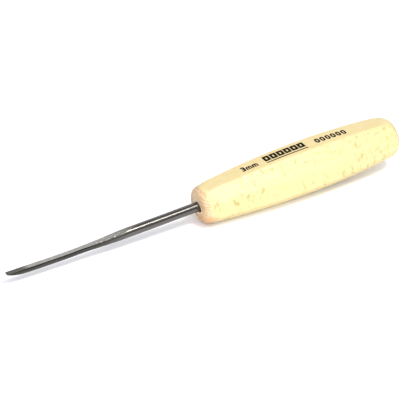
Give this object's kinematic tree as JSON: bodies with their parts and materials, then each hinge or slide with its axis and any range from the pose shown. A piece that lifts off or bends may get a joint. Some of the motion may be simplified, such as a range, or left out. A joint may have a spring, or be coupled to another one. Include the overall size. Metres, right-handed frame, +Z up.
{
  "type": "carving chisel",
  "caption": "Straight carving chisel for lino and wood: a narrow ground blade on a round steel shank in an octagonal barrel-shaped beech handle.",
  "frame": {"origin": "centre of the flat end of the butt, on the tool's axis", "axes": "+X along the tool from the cutting edge to the butt, +Z up through the handle's top flat and the blade's flat face"},
  "size_m": [0.227, 0.027, 0.027],
  "materials": {
    "tool_steel": "round shank polished bright, blade ground with fine cross marks, darker near the cutting edge",
    "beech": "smooth and waxed, pale, with short darker ray flecks and open end grain at both ends, and a few dark brown printed marks on the top flat"
  },
  "bodies": {
    "root": {"blade": "tool_steel", "handle": "beech"}
  },
  "joints": []
}
